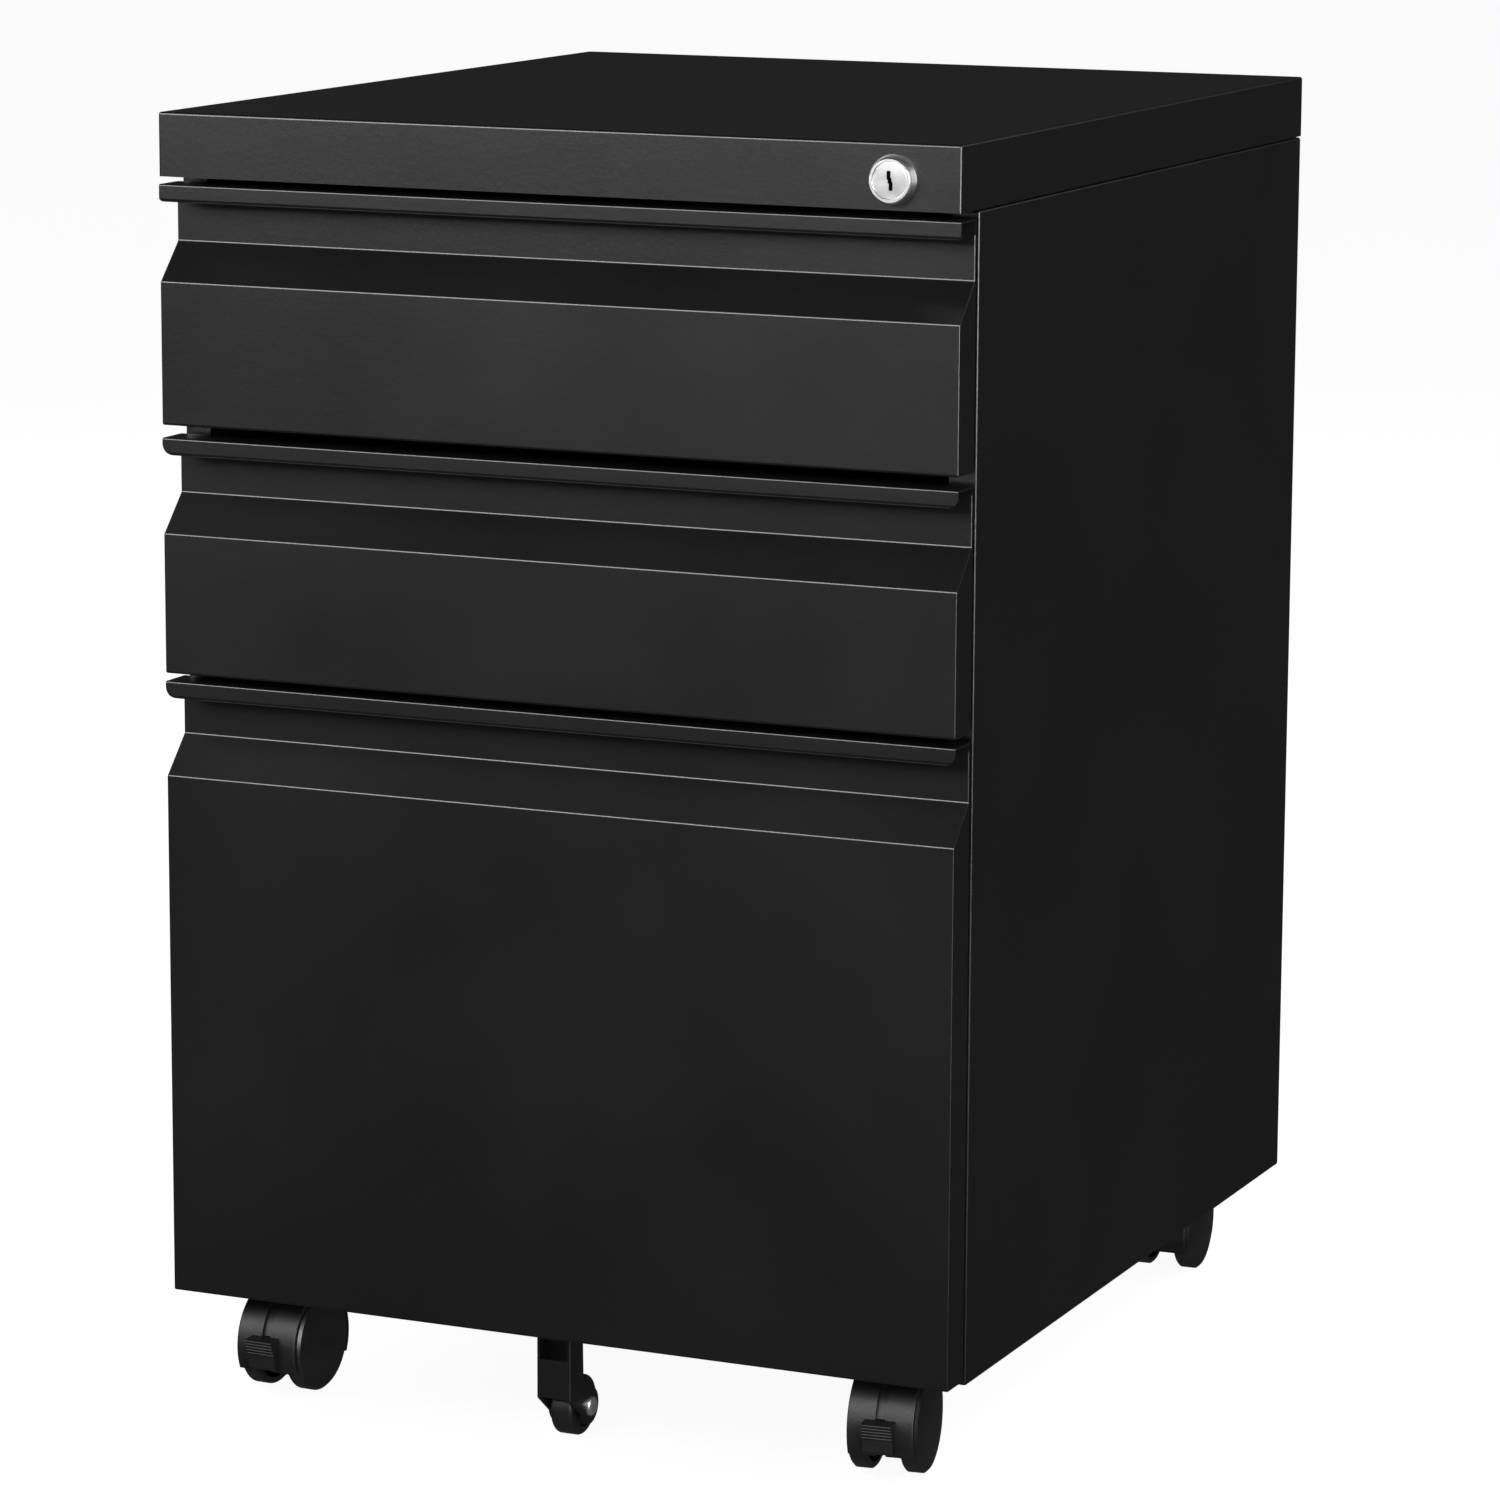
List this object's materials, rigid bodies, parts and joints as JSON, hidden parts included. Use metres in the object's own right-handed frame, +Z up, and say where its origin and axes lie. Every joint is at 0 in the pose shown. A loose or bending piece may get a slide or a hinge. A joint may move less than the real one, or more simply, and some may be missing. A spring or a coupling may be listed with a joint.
{
  "type": "mobile filing cabinet",
  "caption": "Black steel mobile pedestal cabinet with box drawers above a file drawer, a front lock, lip pulls, hooded casters and an anti-tilt wheel.",
  "frame": {"origin": "on the floor, under the middle of the whole cabinet, lock included", "axes": "+X to the right as seen from the front, +Y from the front to the back, +Z up"},
  "size_m": [0.39, 0.4544, 0.6],
  "materials": {
    "black_powder_coat": "satin black powder coat",
    "zinc_slides": "zinc plated",
    "zinc_steel": "zinc plated",
    "lock_chrome": "nickel plated",
    "nylon": "natural nylon",
    "bumper_rubber": "matt",
    "wheel_plastic": "smooth moulded",
    "hood_plastic": "fine moulded grain"
  },
  "bodies": {
    "cabinet": {"back_panel": "black_powder_coat", "back_panel_screws": "zinc_steel", "bottom_panel": "black_powder_coat", "front_rail": "black_powder_coat", "left_side_panel": "black_powder_coat", "lock_bar_guides": "nylon", "lock_housing": "lock_chrome", "lock_nut": "zinc_steel", "right_side_panel": "black_powder_coat", "slide_uprights": "black_powder_coat", "top_cover": "black_powder_coat", "caster_stems": "zinc_steel", "caster_nut_plates": "zinc_steel", "drawer_bumpers": "bumper_rubber", "drawer_1_slides_outer": "zinc_slides", "drawer_2_slides_outer": "zinc_slides", "drawer_3_slides_outer": "zinc_slides"},
    "drawer_1": {"drawer_1_front": "black_powder_coat", "drawer_1_liner": "black_powder_coat", "drawer_1_tray": "black_powder_coat", "drawer_1_lock_stud": "zinc_steel", "drawer_1_slides_inner": "zinc_slides"},
    "drawer_1_middle_slides": {"drawer_1_slides_middle": "zinc_slides"},
    "drawer_2": {"drawer_2_front": "black_powder_coat", "drawer_2_liner": "black_powder_coat", "drawer_2_tray": "black_powder_coat", "drawer_2_lock_stud": "zinc_steel", "drawer_2_slides_inner": "zinc_slides"},
    "drawer_2_middle_slides": {"drawer_2_slides_middle": "zinc_slides"},
    "drawer_3": {"drawer_3_front": "black_powder_coat", "drawer_3_liner": "black_powder_coat", "drawer_3_tray": "black_powder_coat", "drawer_3_lock_stud": "zinc_steel", "drawer_3_slides_inner": "zinc_slides", "file_rails": "black_powder_coat", "anti_tilt_fork": "black_powder_coat", "anti_tilt_axle": "zinc_steel"},
    "drawer_3_middle_slides": {"drawer_3_slides_middle": "zinc_slides"},
    "anti_tilt_wheel": {"anti_tilt_wheel": "wheel_plastic"},
    "lock_plug": {"lock_plug": "lock_chrome", "lock_cam": "zinc_steel"},
    "lock_bar": {"lock_bar": "zinc_steel"},
    "front_left_caster": {"front_left_caster_hood": "hood_plastic", "front_left_caster_axle": "zinc_steel"},
    "front_left_wheel_left": {"front_left_caster_wheel_left": "wheel_plastic"},
    "front_left_wheel_right": {"front_left_caster_wheel_right": "wheel_plastic"},
    "front_left_pedal": {"front_left_brake_pedal": "hood_plastic"},
    "front_right_caster": {"front_right_caster_hood": "hood_plastic", "front_right_caster_axle": "zinc_steel"},
    "front_right_wheel_left": {"front_right_caster_wheel_left": "wheel_plastic"},
    "front_right_wheel_right": {"front_right_caster_wheel_right": "wheel_plastic"},
    "front_right_pedal": {"front_right_brake_pedal": "hood_plastic"},
    "rear_left_caster": {"rear_left_caster_hood": "hood_plastic", "rear_left_caster_axle": "zinc_steel"},
    "rear_left_wheel_left": {"rear_left_caster_wheel_left": "wheel_plastic"},
    "rear_left_wheel_right": {"rear_left_caster_wheel_right": "wheel_plastic"},
    "rear_right_caster": {"rear_right_caster_hood": "hood_plastic", "rear_right_caster_axle": "zinc_steel"},
    "rear_right_wheel_left": {"rear_right_caster_wheel_left": "wheel_plastic"},
    "rear_right_wheel_right": {"rear_right_caster_wheel_right": "wheel_plastic"}
  },
  "joints": [
    {"name": "drawer_1_slide", "type": "slide", "parent": "cabinet", "child": "drawer_1", "axis": [0, -1, 0], "range_m": [0, 0.3]},
    {"name": "drawer_1_middle_travel", "type": "slide", "parent": "cabinet", "child": "drawer_1_middle_slides", "axis": [0, -1, 0], "range_m": [0, 0.15]},
    {"name": "drawer_2_slide", "type": "slide", "parent": "cabinet", "child": "drawer_2", "axis": [0, -1, 0], "range_m": [0, 0.3]},
    {"name": "drawer_2_middle_travel", "type": "slide", "parent": "cabinet", "child": "drawer_2_middle_slides", "axis": [0, -1, 0], "range_m": [0, 0.15]},
    {"name": "drawer_3_slide", "type": "slide", "parent": "cabinet", "child": "drawer_3", "axis": [0, -1, 0], "range_m": [0, 0.34]},
    {"name": "drawer_3_middle_travel", "type": "slide", "parent": "cabinet", "child": "drawer_3_middle_slides", "axis": [0, -1, 0], "range_m": [0, 0.17]},
    {"name": "anti_tilt_wheel_spin", "type": "hinge", "parent": "drawer_3", "child": "anti_tilt_wheel", "pos_m": [0, -0.19775, 0.014], "axis": [1, 0, 0], "continuous": true},
    {"name": "lock_turn", "type": "hinge", "parent": "cabinet", "child": "lock_plug", "pos_m": [0.1635, -0.22275, 0.584], "axis": [0, 1, 0], "range_deg": [0, 90]},
    {"name": "lock_bar_drop", "type": "slide", "parent": "cabinet", "child": "lock_bar", "axis": [0, 0, -1], "range_m": [0, 0.01273]},
    {"name": "front_left_swivel", "type": "hinge", "parent": "cabinet", "child": "front_left_caster", "pos_m": [-0.152, -0.16575, 0.04], "axis": [0, 0, 1], "continuous": true},
    {"name": "front_left_wheel_left_spin", "type": "hinge", "parent": "front_left_caster", "child": "front_left_wheel_left", "pos_m": [-0.15266, -0.18474, 0.023], "axis": [0.9994, -0.0349, 0], "continuous": true},
    {"name": "front_left_wheel_right_spin", "type": "hinge", "parent": "front_left_caster", "child": "front_left_wheel_right", "pos_m": [-0.15266, -0.18474, 0.023], "axis": [0.9994, -0.0349, 0], "continuous": true},
    {"name": "front_left_brake", "type": "hinge", "parent": "front_left_caster", "child": "front_left_pedal", "pos_m": [-0.15266, -0.18474, 0.023], "axis": [0.9994, -0.0349, 0], "range_deg": [0, 12]},
    {"name": "front_right_swivel", "type": "hinge", "parent": "cabinet", "child": "front_right_caster", "pos_m": [0.152, -0.16575, 0.04], "axis": [0, 0, 1], "continuous": true},
    {"name": "front_right_wheel_left_spin", "type": "hinge", "parent": "front_right_caster", "child": "front_right_wheel_left", "pos_m": [0.15432, -0.18461, 0.023], "axis": [0.9925, 0.1219, 0], "continuous": true},
    {"name": "front_right_wheel_right_spin", "type": "hinge", "parent": "front_right_caster", "child": "front_right_wheel_right", "pos_m": [0.15432, -0.18461, 0.023], "axis": [0.9925, 0.1219, 0], "continuous": true},
    {"name": "front_right_brake", "type": "hinge", "parent": "front_right_caster", "child": "front_right_pedal", "pos_m": [0.15432, -0.18461, 0.023], "axis": [0.9925, 0.1219, 0], "range_deg": [0, 12]},
    {"name": "rear_left_swivel", "type": "hinge", "parent": "cabinet", "child": "rear_left_caster", "pos_m": [-0.152, 0.16825, 0.04], "axis": [0, 0, 1], "continuous": true},
    {"name": "rear_left_wheel_left_spin", "type": "hinge", "parent": "rear_left_caster", "child": "rear_left_wheel_left", "pos_m": [-0.15067, 0.1872, 0.023], "axis": [-0.9976, 0.0698, 0], "continuous": true},
    {"name": "rear_left_wheel_right_spin", "type": "hinge", "parent": "rear_left_caster", "child": "rear_left_wheel_right", "pos_m": [-0.15067, 0.1872, 0.023], "axis": [-0.9976, 0.0698, 0], "continuous": true},
    {"name": "rear_right_swivel", "type": "hinge", "parent": "cabinet", "child": "rear_right_caster", "pos_m": [0.152, 0.16825, 0.04], "axis": [0, 0, 1], "continuous": true},
    {"name": "rear_right_wheel_left_spin", "type": "hinge", "parent": "rear_right_caster", "child": "rear_right_wheel_left", "pos_m": [0.15101, 0.18722, 0.023], "axis": [-0.9986, -0.0523, 0], "continuous": true},
    {"name": "rear_right_wheel_right_spin", "type": "hinge", "parent": "rear_right_caster", "child": "rear_right_wheel_right", "pos_m": [0.15101, 0.18722, 0.023], "axis": [-0.9986, -0.0523, 0], "continuous": true}
  ],
  "couplings": [
    {"joint": "drawer_1_middle_travel", "follows": "drawer_1_slide", "ratio": 0.5},
    {"joint": "drawer_2_middle_travel", "follows": "drawer_2_slide", "ratio": 0.5},
    {"joint": "drawer_3_middle_travel", "follows": "drawer_3_slide", "ratio": 0.5},
    {"joint": "lock_turn", "follows": "lock_bar_drop", "rad_per_m": 123.41}
  ]
}
